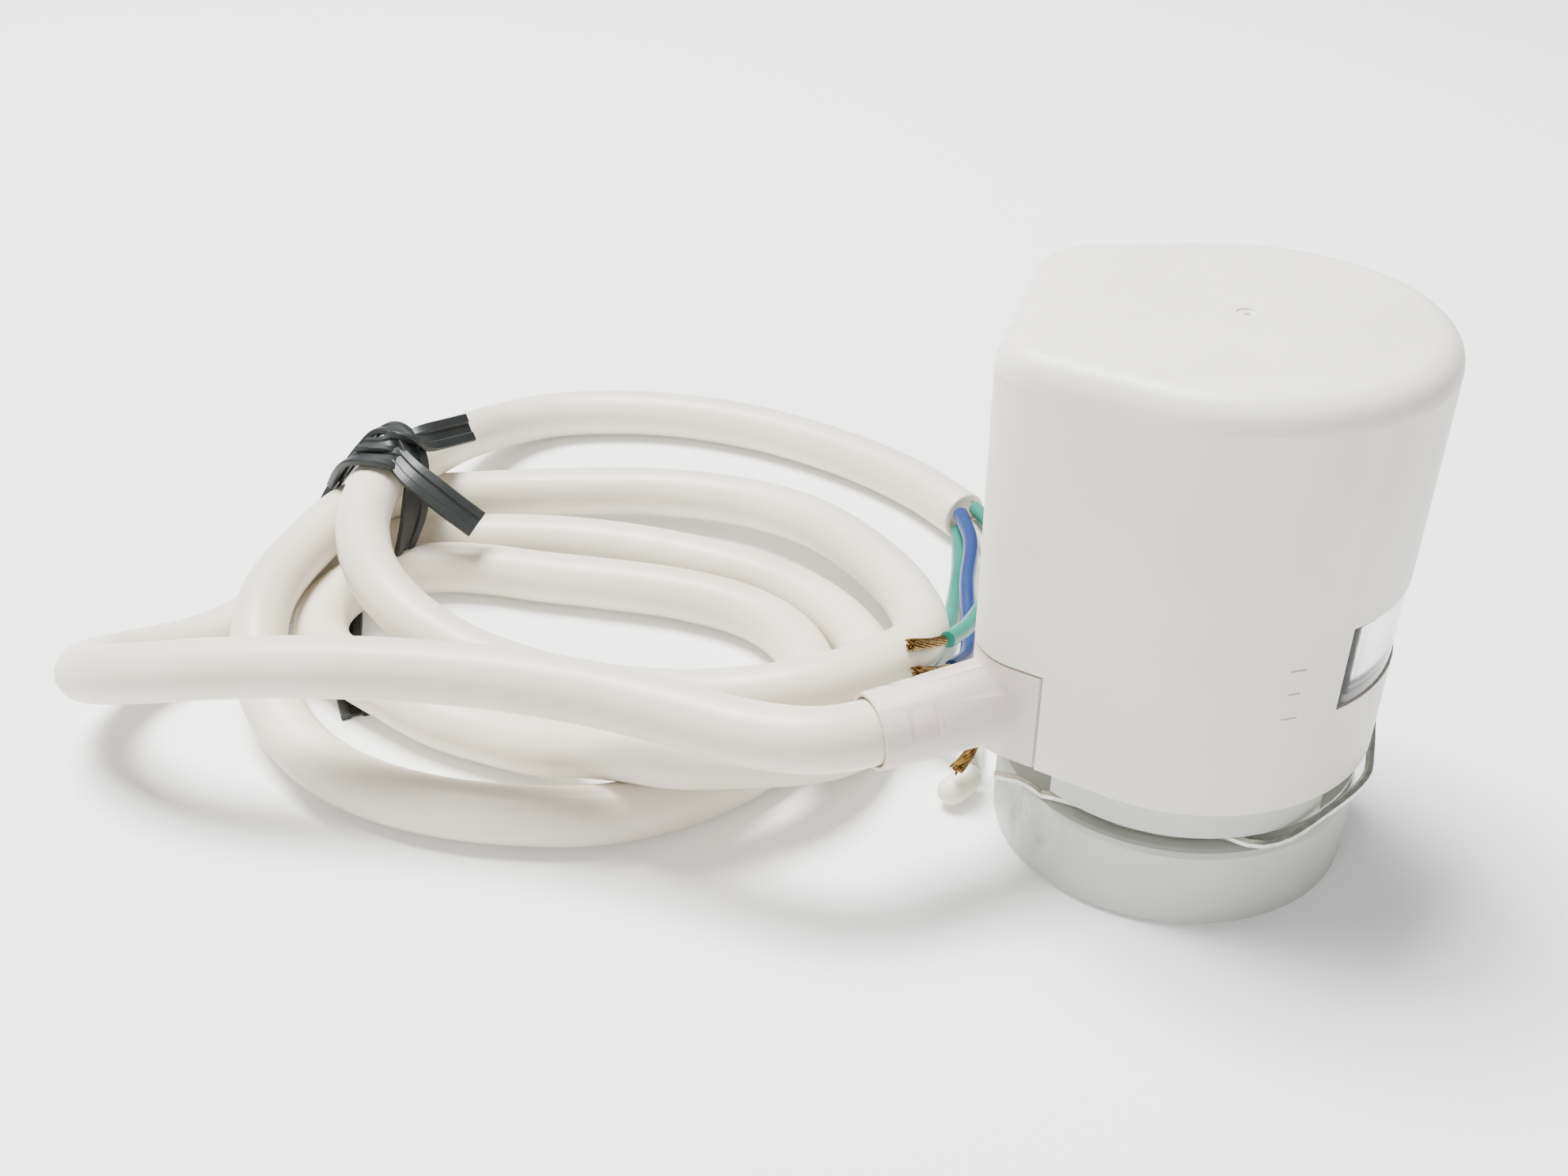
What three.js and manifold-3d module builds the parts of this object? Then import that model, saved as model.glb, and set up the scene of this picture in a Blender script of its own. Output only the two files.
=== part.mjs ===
// Wax-driven actuator head for a small heating valve, with its cable.
// Millimetres, +Z up. The valve axis is the Z axis, and Z = 0 is the face that stands on a table.
// +X is the front, where the position window and the pull loop of the wire clip are.
import * as THREE from "three";
import { mergeVertices } from "three/addons/utils/BufferGeometryUtils.js";
import Module from "manifold-3d";

const wasm = await Module();
wasm.setup();

// ---------------------------------------------------------------- driving dimensions

const GAP = 0.3; // clearance between pieces that touch
const ROUND = 64; // segments of a full turn on the large round pieces

// housing
const HOUSING_RADIUS = 20;
const REAR_X = -21.5;
const REAR_HALF_WIDTH = 16.2;
const REAR_CORNER = 6.6;
const HOUSING_BOTTOM = 15.8;
const HOUSING_TOP = 60.5;
const TOP_FILLET = 3;
const WALL = 1.8;

// position window
const WINDOW_HALF_ANGLE = 42;
const WINDOW_BOTTOM = 26.8;
const WINDOW_TOP = 36.2;
const TICK_ANGLE = -58;

// adapter ring (M30 x 1.5 on the valve neck), wire groove and collar
const FLANGE_RADIUS = 19.5;
const FLANGE_TOP = 10.3;
const NECK_RADIUS = 15.7;
const NECK_TOP = 14.9;
const THREAD_RADIUS = 15;
const THREAD_PITCH = 1.5;
const THREAD_DEPTH = 0.7;
const BORE_TOP = 10.6;
const COLLAR_RADIUS = 19.2;
const COLLAR_BOTTOM = 11.9;
const COLLAR_TOP = 15.5;
const PLATE_TOP = 17;

// drive: plunger, yoke and wax element, at rest with the plunger out
const PLUNGER_RADIUS = 5;
const PLUNGER_BOTTOM = 11.2;
const YOKE_BOTTOM = 20;
const YOKE_BAR = 2.2;
const YOKE_HALF_WIDTH = 14.2;
const PLATFORM_BOTTOM = 26.5;
const PLATFORM_TOP = 28.4;
const ELEMENT_BOTTOM = 31.5;
const ELEMENT_RADIUS = 7.2;
const YOKE_CAP_BOTTOM = 42.5;
const YOKE_CAP_TOP = 44.5;

// return spring
const SPRING_WIRE = 1.6;
const SPRING_RADIUS = 8.2;
const SPRING_TURNS = 4.5;
const SPRING_TOP = 58.4;

// wire clip
const CLIP_WIRE = 1;
const CLIP_Z = 11.1;
const CLIP_GROOVE_RADIUS = 17.4;

// strain relief, on a line through the centre of the rear corner
const RELIEF_ANGLE = 221.3;
const RELIEF_TOP = 27.1;
const RELIEF_HALF_WIDTH = 6.4;
const BOOT_Z = 21;
const BOOT_LENGTH = 19.4;
const BOOT_BASE_RADIUS = 4.75;
const BOOT_END_RADIUS = 4.15;
const BOOT_BORE = 3.8;

// cable
const CABLE = 7;
const COIL_CENTRE = [-77, 23];
const COIL_HALF_SIZE = [41, 54];
const COIL_HOLE_CENTRE = [-78, 6];
const COIL_HOLE_HALF_SIZE = [21, 9];
const COIL_HEIGHT = 7.2;
const TIE_WIDTH = 4;
const TIE_THICKNESS = 0.9;
const TIE_CENTRE = [-112.8, 22];
const TIE_SPAN = 14;
const TIE_TOP = 20.8;
const TIE_TAIL = 11;
const CORE = 2.1;
const STRANDS = 1.4;

const CABLE_FRONT_RUN = [
  [-27.5, -20.65, 21], [-30.4, -23.2, 21], [-34.6, -25.4, 21], [-41, -26, 20.9], [-49.5, -25, 20.9],
  [-60, -24.2, 20.9], [-72, -24.4, 20.7], [-84, -25.8, 20.3], [-95, -27.7, 19.6], [-104, -29.3, 18.6],
  [-112, -29.8, 16.8], [-119, -28.6, 14.4], [-124.5, -25.8, 11.6], [-127.5, -20.8, 8.7], [-127.4, -15.2, 6.2],
  [-125.2, -9.8, 4.5], [-122.4, -4.6, 3.7], [-120.2, 1, 3.6],
];
const CABLE_TAIL = [[-42.8, 60, 3.6], [-40.5, 58.2, 3.6], [-38, 56.2, 3.6], [-35.5, 54, 3.6]];

const CORES = {
  green_short: {
    colour: 0x2f8f78,
    route: [
      [-34, 54.5, 4.9], [-29.4, 46, 6.4], [-27, 35, 7.8], [-26.6, 25, 8.6], [-27.4, 16.3, 9.7],
      [-28.6, 11.5, 10.8],
    ],
    end: [[-29, 10.8, 11], [-30.2, 7.9, 12.2], [-31.9, 4.9, 13.7]],
  },
  blue: {
    colour: 0x2f4fa0,
    route: [
      [-35.8, 52.4, 4.9], [-32.5, 44, 5.5], [-30.8, 34, 5.2], [-28.6, 25, 4.4], [-27.2, 17.5, 4.8],
      [-27.9, 11.9, 6.5],
    ],
    end: [[-28.1, 11.2, 6.8], [-29, 6.9, 9], [-30.7, 3.4, 11]],
  },
  green_long: {
    colour: 0x2f8f78,
    route: [
      [-35.9, 52.2, 2.3], [-33.6, 42, 1.8], [-31.7, 27, 2.4], [-31.3, 17, 4.4], [-31.4, 8.4, 5.2],
      [-28.6, 3.6, 6.4], [-24, 0.8, 7], [-22.2, -2.1, 6.9],
    ],
    end: [[-22, -2.9, 6.9], [-22.3, -4.8, 6.4], [-23.3, -6.9, 5.6]],
  },
  white: {
    colour: 0xe6e2d6,
    route: [
      [-34, 54.5, 2.3], [-28.6, 44, 1.5], [-26.2, 30, 1.5], [-25.4, 14, 1.5], [-22.9, 3, 1.8],
      [-22.3, -1.6, 2.1],
    ],
  },
};
const WHITE_END_SLEEVE = [[-22.3, -2.4, 2.1], [-22.9, -4.8, 2.1], [-24.5, -7.6, 2.1]];
const SLEEVE = 3.4;

// ---------------------------------------------------------------- materials

const paint = (color, roughness, metalness = 0) =>
  new THREE.MeshStandardMaterial({ color, roughness, metalness });

const WHITE_PLASTIC = paint(0xeeece6, 0.42);
const RELIEF_PLASTIC = paint(0xe6dcda, 0.55);
const GREY_PLASTIC = paint(0xc3c9c8, 0.42);
const INNER_PLASTIC = paint(0xe4e4e0, 0.5);
const CLEAR_PLASTIC = paint(0xe9edf0, 0.08);
const FLAG_PLASTIC = paint(0xb8646c, 0.4);
const CHROME_WIRE = paint(0xc9c9c4, 0.15, 1);
const SPRING_STEEL = paint(0x9a9a98, 0.3, 1);
const ZINC_STEEL = paint(0xb7b9ba, 0.35, 1);
const BRASS = paint(0xb5934e, 0.3, 1);
const BRONZE_STRIP = paint(0xb0703c, 0.3, 1);
const CERAMIC = paint(0x6f6b66, 0.7);
const WAX = paint(0xd9c48a, 0.6);
const RUBBER = paint(0x24262a, 0.8);
const BOARD = paint(0x2d6b45, 0.5);
const SWITCH_BLACK = paint(0x26282b, 0.45);
const SWITCH_RED = paint(0xb03a32, 0.4);
const CABLE_WHITE = paint(0xe9e5da, 0.5);
const TIE_BLACK = paint(0x1b1d1f, 0.5);
const COPPER = paint(0xa5793a, 0.4, 1);

// ---------------------------------------------------------------- solids

/** A closed geometry as a solid: shared corners merged, slivers dropped, faces pointing out. */
function solidOf(geometry) {
  const bare = new THREE.BufferGeometry();
  bare.setAttribute("position", geometry.getAttribute("position"));
  bare.setIndex(geometry.getIndex());
  const merged = mergeVertices(bare, 1e-4);
  const corner = merged.getIndex().array;
  const point = merged.getAttribute("position");
  const kept = [];
  let volume = 0;
  const [a, b, c] = [new THREE.Vector3(), new THREE.Vector3(), new THREE.Vector3()];
  for (let i = 0; i < corner.length; i += 3) {
    const [p, q, r] = [corner[i], corner[i + 1], corner[i + 2]];
    if (p === q || q === r || r === p) continue;
    kept.push(p, q, r);
    a.fromBufferAttribute(point, p);
    b.fromBufferAttribute(point, q);
    c.fromBufferAttribute(point, r);
    volume += a.dot(b.cross(c));
  }
  if (volume < 0) kept.reverse();
  return new wasm.Manifold(new wasm.Mesh({
    numProp: 3,
    vertProperties: Float32Array.from(point.array),
    triVerts: Uint32Array.from(kept),
  }));
}

/** A solid back as a geometry. */
function geometryOf(solid) {
  const mesh = solid.getMesh();
  const geometry = new THREE.BufferGeometry();
  geometry.setAttribute("position", new THREE.BufferAttribute(mesh.vertProperties, 3));
  geometry.setIndex(new THREE.BufferAttribute(mesh.triVerts, 1));
  geometry.computeVertexNormals();
  return geometry;
}

const join = (...solids) => solids.reduce((sum, solid) => sum.add(solid));

const cut = (solid, ...tools) => tools.reduce((rest, tool) => rest.subtract(tool), solid);

/** A box between two corners. */
function block([x0, x1], [y0, y1], [z0, z1]) {
  const box = new THREE.BoxGeometry(x1 - x0, y1 - y0, z1 - z0);
  box.translate((x0 + x1) / 2, (y0 + y1) / 2, (z0 + z1) / 2);
  return solidOf(box);
}

/** A profile of [radius, z] points turned about Z. */
function turned(profile, segments = ROUND) {
  const closed = [...profile, profile[0]].map(([r, z]) => new THREE.Vector2(r, z));
  const lathe = new THREE.LatheGeometry(closed, segments);
  lathe.rotateX(Math.PI / 2);
  return solidOf(lathe);
}

/** A plain disc or cylinder about a vertical line. */
function rod(radius, z0, z1, x = 0, y = 0, segments = 32) {
  const cylinder = new THREE.CylinderGeometry(radius, radius, z1 - z0, segments);
  cylinder.rotateX(Math.PI / 2);
  cylinder.translate(x, y, (z0 + z1) / 2);
  return solidOf(cylinder);
}

/** An upright prism over a plan outline. */
function prism(outline, z0, z1) {
  const body = new THREE.ExtrudeGeometry(new THREE.Shape(outline), { depth: z1 - z0, bevelEnabled: false });
  body.translate(0, 0, z0);
  return solidOf(body);
}

/** Part of a ring, between two angles in degrees. */
function sector([r0, r1], [z0, z1], [from, to], step = 5) {
  const count = Math.ceil((to - from) / step);
  const arc = (radius, k) => {
    const angle = THREE.MathUtils.degToRad(from + ((to - from) * k) / count);
    return new THREE.Vector2(radius * Math.cos(angle), radius * Math.sin(angle));
  };
  const outline = [];
  for (let k = 0; k <= count; k++) outline.push(arc(r1, k));
  for (let k = count; k >= 0; k--) outline.push(arc(r0, k));
  return prism(outline, z0, z1);
}

/** A round bar along a smooth line through the points. */
function bar(points, diameter, sides, steps) {
  const section = [];
  for (let k = 0; k < sides; k++) {
    const angle = (2 * Math.PI * k) / sides;
    section.push(new THREE.Vector2((diameter / 2) * Math.cos(angle), (diameter / 2) * Math.sin(angle)));
  }
  const line = new THREE.CatmullRomCurve3(points.map((p) => new THREE.Vector3(...p)), false, "centripetal");
  const path = { steps, extrudePath: line, bevelEnabled: false };
  return solidOf(new THREE.ExtrudeGeometry(new THREE.Shape(section), path));
}

// ---------------------------------------------------------------- the housing's plan

/** Where the flat side meets the round front: the angle of the side's outward normal. */
function sideAngle() {
  const cx = REAR_X + REAR_CORNER;
  const cy = REAR_HALF_WIDTH - REAR_CORNER;
  const lean = Math.acos((HOUSING_RADIUS - REAR_CORNER) / Math.hypot(cx, cy));
  return Math.atan2(cy, cx) - lean;
}

/** The plan: a round front, flat sides that close in, and a flat rear with round corners. */
function planOutline(inset) {
  const side = sideAngle();
  const outline = [];
  const arc = (cx, cy, radius, from, to, count) => {
    for (let k = 0; k <= count; k++) {
      const angle = from + ((to - from) * k) / count;
      outline.push(new THREE.Vector2(cx + radius * Math.cos(angle), cy + radius * Math.sin(angle)));
    }
  };
  const cx = REAR_X + REAR_CORNER;
  const cy = REAR_HALF_WIDTH - REAR_CORNER;
  arc(0, 0, HOUSING_RADIUS - inset, -side, side, 40);
  arc(cx, cy, REAR_CORNER - inset, side, Math.PI, 8);
  arc(cx, -cy, REAR_CORNER - inset, -Math.PI, -side, 8);
  return outline;
}

/** A body whose plan is inset by a different amount at each height; levels are [inset, z]. */
function planLoft(levels) {
  const position = [];
  const index = [];
  const rings = levels.map(([inset]) => planOutline(inset));
  const count = rings[0].length;
  rings.forEach((ring, i) => ring.forEach((p) => position.push(p.x, p.y, levels[i][1])));
  for (let i = 0; i + 1 < rings.length; i++) {
    for (let k = 0; k < count; k++) {
      const [a, b] = [i * count + k, i * count + ((k + 1) % count)];
      index.push(a, b, b + count, a, b + count, a + count);
    }
  }
  const last = (rings.length - 1) * count;
  for (let k = 1; k + 1 < count; k++) {
    index.push(0, k + 1, k);
    index.push(last, last + k, last + k + 1);
  }
  const geometry = new THREE.BufferGeometry();
  geometry.setAttribute("position", new THREE.Float32BufferAttribute(position, 3));
  geometry.setIndex(index);
  return solidOf(geometry);
}

/** The levels of a body with a rounded top edge. */
function roundedTop(inset, bottom, top, fillet, count) {
  const levels = [[inset, bottom]];
  for (let k = 0; k <= count; k++) {
    const angle = (k / count) * (Math.PI / 2);
    levels.push([inset + fillet * (1 - Math.cos(angle)), top - fillet + fillet * Math.sin(angle)]);
  }
  return levels;
}

/** Turns a solid built along +X so that it points out of the rear corner at the cable's height. */
function alongRelief(solid) {
  return solid
    .rotate([0, 0, RELIEF_ANGLE])
    .translate([REAR_X + REAR_CORNER, -(REAR_HALF_WIDTH - REAR_CORNER), 0]);
}

/** A point given along, across and above the strain relief's line. */
function reliefPoint([along, across, z]) {
  const turn = THREE.MathUtils.degToRad(RELIEF_ANGLE);
  return [
    REAR_X + REAR_CORNER + along * Math.cos(turn) - across * Math.sin(turn),
    -(REAR_HALF_WIDTH - REAR_CORNER) + along * Math.sin(turn) + across * Math.cos(turn),
    z,
  ];
}

// ---------------------------------------------------------------- casing

function housingShell() {
  const outside = planLoft(roundedTop(0, HOUSING_BOTTOM, HOUSING_TOP, TOP_FILLET, 6));
  const inside = planLoft(roundedTop(WALL, HOUSING_BOTTOM - 1, HOUSING_TOP - WALL, 1.4, 2));
  const windowArc = [-WINDOW_HALF_ANGLE, WINDOW_HALF_ANGLE];
  const windowHole = sector([16, 22], [WINDOW_BOTTOM, WINDOW_TOP], windowArc, 4);
  const reliefHole = alongRelief(block(
    [0.5, 20],
    [-RELIEF_HALF_WIDTH - GAP, RELIEF_HALF_WIDTH + GAP],
    [HOUSING_BOTTOM - 1, RELIEF_TOP + GAP],
  ));
  const springGuide = turned([[4.6, 54.5], [6.6, 54.5], [6.6, 59], [4.6, 59]], 32);
  const railX = [REAR_X + 1, BOARD_X[1] - 0.1];
  const boardRails = [[-12.3, -11.2], [11.2, 12.3]].map((railY) => block(railX, railY, [30, 52]));
  const shell = join(cut(outside, inside), springGuide, ...boardRails);
  const gateMark = rod(0.9, HOUSING_TOP - 0.2, HOUSING_TOP + 1, 0, 0, 16);
  const gateNub = rod(0.35, HOUSING_TOP - 0.4, HOUSING_TOP - 0.02, 0, 0, 8);
  return join(cut(shell, windowHole, reliefHole, gateMark, ...tickMarks()), gateNub);
}

/** Three short engraved lines beside the window, which mark the travel. */
function tickMarks() {
  const marks = [[27.4, 1.7], [30.3, 1.2], [33, 1.7]];
  return marks.map(([z, length]) => {
    const depth = [HOUSING_RADIUS - 0.2, HOUSING_RADIUS + 1];
    const line = block(depth, [-length / 2, length / 2], [z - 0.1, z + 0.1]);
    return line.rotate([0, 0, TICK_ANGLE]);
  });
}

function windowLens() {
  const half = WINDOW_HALF_ANGLE;
  const pane = sector([17.6, 19.8], [WINDOW_BOTTOM + GAP, WINDOW_TOP - GAP], [1.2 - half, half - 1.2], 4);
  const lip = sector([17.1, 17.9], [WINDOW_BOTTOM - 1, WINDOW_TOP + 1], [-half - 2.5, half + 2.5], 4);
  return join(pane, lip);
}

function baseCollar() {
  const ring = turned([
    [16.1, COLLAR_BOTTOM], [18.9, COLLAR_BOTTOM], [COLLAR_RADIUS, COLLAR_BOTTOM + 0.3],
    [COLLAR_RADIUS, COLLAR_TOP], [16.1, COLLAR_TOP],
  ]);
  const plate = prism(planOutline(WALL + GAP), COLLAR_TOP - 0.3, PLATE_TOP);
  const rim = cut(
    prism(planOutline(WALL + GAP), PLATE_TOP - 0.5, 19.5),
    prism(planOutline(WALL + GAP + 1.4), PLATE_TOP - 1, 20),
  );
  const bush = rod(7, PLATE_TOP - 0.5, 19.4);
  const neckRoom = rod(NECK_RADIUS + 0.4, COLLAR_BOTTOM - 1, COLLAR_TOP - 0.3, 0, 0, ROUND);
  const guideHole = rod(PLUNGER_RADIUS + 0.35, 10, 25);
  const sealRecess = rod(7.3, 14, 16.5);
  const reliefRoom = alongRelief(block([-1.4, 20], [-7.2, 7.2], [COLLAR_TOP + 0.05, 30]));
  const legRoom = [
    sector([14, 24], [COLLAR_BOTTOM - 1, COLLAR_TOP - 0.35], [-165, -126.6]),
    sector([14, 24], [COLLAR_BOTTOM - 1, COLLAR_TOP - 0.35], [126.6, 165]),
  ];
  const fingerRoom = sector([17.2, 24], [COLLAR_BOTTOM + 0.7, COLLAR_TOP - 0.35], [-35, 35]);
  const screwHoles = frameScrewPlaces().map(([x, y]) => rod(1.2, 14, 20, x, y, 12));
  return cut(join(ring, plate, rim, bush), neckRoom, guideHole, sealRecess, reliefRoom, ...legRoom,
    fingerRoom, ...screwHoles);
}

function adapterRing() {
  const profile = [
    [THREAD_RADIUS - THREAD_DEPTH, 1.6], [THREAD_RADIUS + 0.6, 0.7], [THREAD_RADIUS + 0.6, 0],
    [FLANGE_RADIUS - 0.6, 0], [FLANGE_RADIUS, 0.6], [FLANGE_RADIUS, FLANGE_TOP - 0.8],
    [FLANGE_RADIUS - 0.3, FLANGE_TOP - 0.2], [FLANGE_RADIUS - 0.8, FLANGE_TOP],
    [NECK_RADIUS, FLANGE_TOP], [NECK_RADIUS, NECK_TOP - 0.6], [NECK_RADIUS - 0.6, NECK_TOP],
    [6.2, NECK_TOP], [6.2, NECK_TOP - 2], [11, NECK_TOP - 2], [12.4, BORE_TOP], [THREAD_RADIUS, BORE_TOP],
  ];
  for (let z = BORE_TOP - 1; z > 3.5; z -= THREAD_PITCH) {
    profile.push([THREAD_RADIUS, z], [THREAD_RADIUS - THREAD_DEPTH, z - THREAD_PITCH / 2 + 0.1]);
    profile.push([THREAD_RADIUS - THREAD_DEPTH, z - THREAD_PITCH / 2 - 0.1]);
  }
  const ring = turned(profile, 52);
  const scoops = [];
  for (const angle of [-143, -128, 128, 143]) {
    const scoop = new THREE.SphereGeometry(3.2, 14, 10);
    scoop.scale(0.55, 0.72, 1.25);
    scoop.translate(FLANGE_RADIUS + 1, 0, 7.6);
    scoops.push(solidOf(scoop).rotate([0, 0, angle]));
  }
  return cut(ring, ...scoops);
}

/** The wire clip: a pull loop at the front, two bows in the groove and two straight legs. */
function retainingClip() {
  const half = [[20.2, 2.5, 14.3], [20, 6, 14.3], [18.9, 8.7, 14.1], [16.4, 11.9, 13.1], [12.9, 15.4, 11.6]];
  half.push([10.2, 16.6, 11.1]);
  for (let angle = 68; angle <= 116; angle += 12) {
    const turn = THREE.MathUtils.degToRad(angle);
    half.push([CLIP_GROOVE_RADIUS * Math.cos(turn), CLIP_GROOVE_RADIUS * Math.sin(turn), CLIP_Z]);
  }
  half.push([-10.4, 14.9, CLIP_Z], [-12.8, 14.7, CLIP_Z]);
  half.push([-14, 14.5, 12], [-15.4, 14.4, 12.1], [-17.6, 14.3, 12.1]);
  const mirrored = half.map(([x, y, z]) => [x, -y, z]);
  return bar([...mirrored.reverse(), ...half], CLIP_WIRE, 6, 72);
}

// ---------------------------------------------------------------- strain relief

function strainRelief() {
  const band = cut(
    prism(planOutline(0.02), HOUSING_BOTTOM + 0.1, RELIEF_TOP),
    prism(planOutline(2.6), HOUSING_BOTTOM - 1, RELIEF_TOP + 1),
  );
  const width = [-RELIEF_HALF_WIDTH, RELIEF_HALF_WIDTH];
  const insert = band.intersect(alongRelief(block([1, 20], width, [HOUSING_BOTTOM, RELIEF_TOP])));
  const anchor = alongRelief(block([-0.8, 4.6], [-5, 5], [PLATE_TOP - 1, 26]));
  const cone = new THREE.CylinderGeometry(BOOT_END_RADIUS, BOOT_BASE_RADIUS, BOOT_LENGTH - 1, 28);
  cone.rotateZ(-Math.PI / 2);
  cone.translate((BOOT_LENGTH + 1) / 2, 0, BOOT_Z);
  const bore = new THREE.CylinderGeometry(BOOT_BORE, BOOT_BORE, 6, 28);
  bore.rotateZ(-Math.PI / 2);
  bore.translate(BOOT_LENGTH, 0, BOOT_Z);
  const slots = [];
  for (const along of [BOOT_LENGTH - 3.2, BOOT_LENGTH - 6.1]) {
    for (const turn of [32, 122, 212, 302]) {
      const slot = block([along - 0.4, along + 0.4], [-2, 2], [3.95, 6]);
      slots.push(slot.rotate([turn - 90, 0, 0]).translate([0, 0, BOOT_Z]));
    }
  }
  const boot = cut(solidOf(cone), solidOf(bore), ...slots);
  return join(insert, anchor, alongRelief(boot));
}

// ---------------------------------------------------------------- frame and drive

function frameScrewPlaces() {
  return [[7.2, 7.2], [-7.2, -7.2]];
}

function innerFrame() {
  const foot = turned([[7.4, PLATE_TOP + GAP], [12.6, PLATE_TOP + GAP], [12.6, 19], [7.4, 19]], 48);
  const platform = join(
    rod(8.6, PLATFORM_BOTTOM, PLATFORM_TOP, 0, 0, 40),
    block([-10.8, 10.8], [-5.4, 5.4], [PLATFORM_BOTTOM, PLATFORM_TOP]),
  );
  const rim = turned([[7.6, 28], [8.6, 28], [8.6, 31], [7.6, 31]], 40);
  const posts = [];
  for (const x of [-9.6, 9.6]) {
    for (const y of [-4.2, 4.2]) {
      posts.push(block([x - 1.2, x + 1.2], [y - 1.2, y + 1.2], [18, PLATFORM_TOP - 0.5]));
    }
  }
  const stripSlot = block([-14, 0], [-1.9, 1.9], [PLATFORM_TOP, 32]);
  const screwHoles = frameScrewPlaces().map(([x, y]) => rod(1.2, 16, 20, x, y, 12));
  return cut(join(foot, platform, rim, ...posts), stripSlot, ...screwHoles);
}

function frameScrew([x, y]) {
  const head = turned([[0, 19.3], [1.9, 19.3], [1.9, 20], [1.2, 20.7], [0, 20.7]], 20);
  const shank = rod(0.9, 15.9, 19.5, 0, 0, 12);
  const slot = block([-2.5, 2.5], [-0.25, 0.25], [20.2, 21]);
  return cut(join(head, shank), slot).translate([x, y, 0]);
}

function plunger() {
  const top = YOKE_BOTTOM - GAP;
  return turned([
    [0, PLUNGER_BOTTOM], [PLUNGER_RADIUS - 0.6, PLUNGER_BOTTOM], [PLUNGER_RADIUS, PLUNGER_BOTTOM + 0.6],
    [PLUNGER_RADIUS, top], [0, top],
  ], 32);
}

function wiperSeal() {
  return turned([[5.3, 15.9], [5.9, 15.5], [7, 15.5], [7, 16.2], [5.9, 16.2]], 32);
}

function liftingYoke() {
  const foot = block([-4, 4], [-YOKE_HALF_WIDTH, YOKE_HALF_WIDTH], [YOKE_BOTTOM, YOKE_BOTTOM + YOKE_BAR]);
  const cap = rod(11, YOKE_CAP_BOTTOM, YOKE_CAP_TOP, 0, 0, 40);
  const bridge = block([-4, 4], [-YOKE_HALF_WIDTH, YOKE_HALF_WIDTH], [YOKE_CAP_BOTTOM, YOKE_CAP_TOP]);
  const boss = rod(6.6, YOKE_CAP_TOP - 0.5, YOKE_CAP_TOP + 2, 0, 0, 32);
  const pieces = [foot, cap, bridge, boss];
  for (const side of [-1, 1]) {
    const [near, far] = [side * 11.8, side * YOKE_HALF_WIDTH];
    pieces.push(block([-4, 4], [Math.min(near, far), Math.max(near, far)], [YOKE_BOTTOM, YOKE_CAP_TOP]));
  }
  pieces.push(block([-16, -3], [8.8, 12.4], [27.6, 29.6]));
  return join(...pieces);
}

function indicatorFlag() {
  const band = sector([15.6, 16.6], [29.2, 33.2], [-68, 68], 4);
  const lugs = [-1, 1].map((side) => {
    const [near, far] = [side * (YOKE_HALF_WIDTH + GAP), side * 15.4];
    return block([2.4, 6.6], [Math.min(near, far), Math.max(near, far)], [29.2, 33.2]);
  });
  return join(band, ...lugs);
}

function waxCup() {
  return turned([
    [0, ELEMENT_BOTTOM], [ELEMENT_RADIUS, ELEMENT_BOTTOM], [ELEMENT_RADIUS, 39.6], [6.1, 39.6],
    [6.1, ELEMENT_BOTTOM + 1], [0, ELEMENT_BOTTOM + 1],
  ], 40);
}

function elementGuide() {
  return turned([
    [2.1, 36.4], [5.8, 36.4], [5.8, 39.9], [ELEMENT_RADIUS, 39.9], [ELEMENT_RADIUS, 41], [3.6, 41],
    [3.2, 41.7], [2.1, 41.7],
  ], 32);
}

function piston() {
  return rod(1.8, 36.4, YOKE_CAP_BOTTOM - GAP, 0, 0, 20);
}

function heaterStrip() {
  const disc = rod(6, PLATFORM_TOP + GAP, PLATFORM_TOP + 0.7, 0, 0, 32);
  const tail = block([-17.6, 0], [-1.4, 1.4], [PLATFORM_TOP + GAP, PLATFORM_TOP + 0.7]);
  return join(disc, tail);
}

function returnSpring() {
  const bottom = YOKE_CAP_TOP + GAP + SPRING_WIRE / 2;
  const rise = SPRING_TOP - SPRING_WIRE / 2 - bottom;
  const perTurn = 14;
  const points = [];
  for (let k = 0; k <= SPRING_TURNS * perTurn; k++) {
    const turn = k / perTurn;
    const along = THREE.MathUtils.smoothstep(turn, 0.5, SPRING_TURNS - 0.5);
    const even = THREE.MathUtils.clamp((turn - 0.6) / (SPRING_TURNS - 1.2), 0, 1);
    const angle = 2 * Math.PI * turn;
    points.push([SPRING_RADIUS * Math.cos(angle), SPRING_RADIUS * Math.sin(angle),
      bottom + rise * (0.25 * along + 0.75 * even)]);
  }
  return bar(points, SPRING_WIRE, 8, SPRING_TURNS * perTurn);
}

// ---------------------------------------------------------------- switch, board and leads

const BOARD_X = [-19.2, -17.8];
const SWITCH_BOTTOM = 35;

function circuitBoard() {
  const strip = block([-21, -16], [-1.8, 1.8], [28, 29.4]);
  return cut(block(BOARD_X, [-10.9, 10.9], [28.2, 52]), strip);
}

function microswitch() {
  const body = block([BOARD_X[1] + GAP, -11.7], [-0.8, 12], [SWITCH_BOTTOM, SWITCH_BOTTOM + 6.5]);
  const buttonRoom = block([-15.9, -13.3], [9, 11.2], [SWITCH_BOTTOM - 1, SWITCH_BOTTOM + 2.4]);
  return cut(body, buttonRoom);
}

function microswitchButton() {
  return block([-15.6, -13.6], [9.3, 10.9], [SWITCH_BOTTOM - 0.9, SWITCH_BOTTOM + 1]);
}

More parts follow.
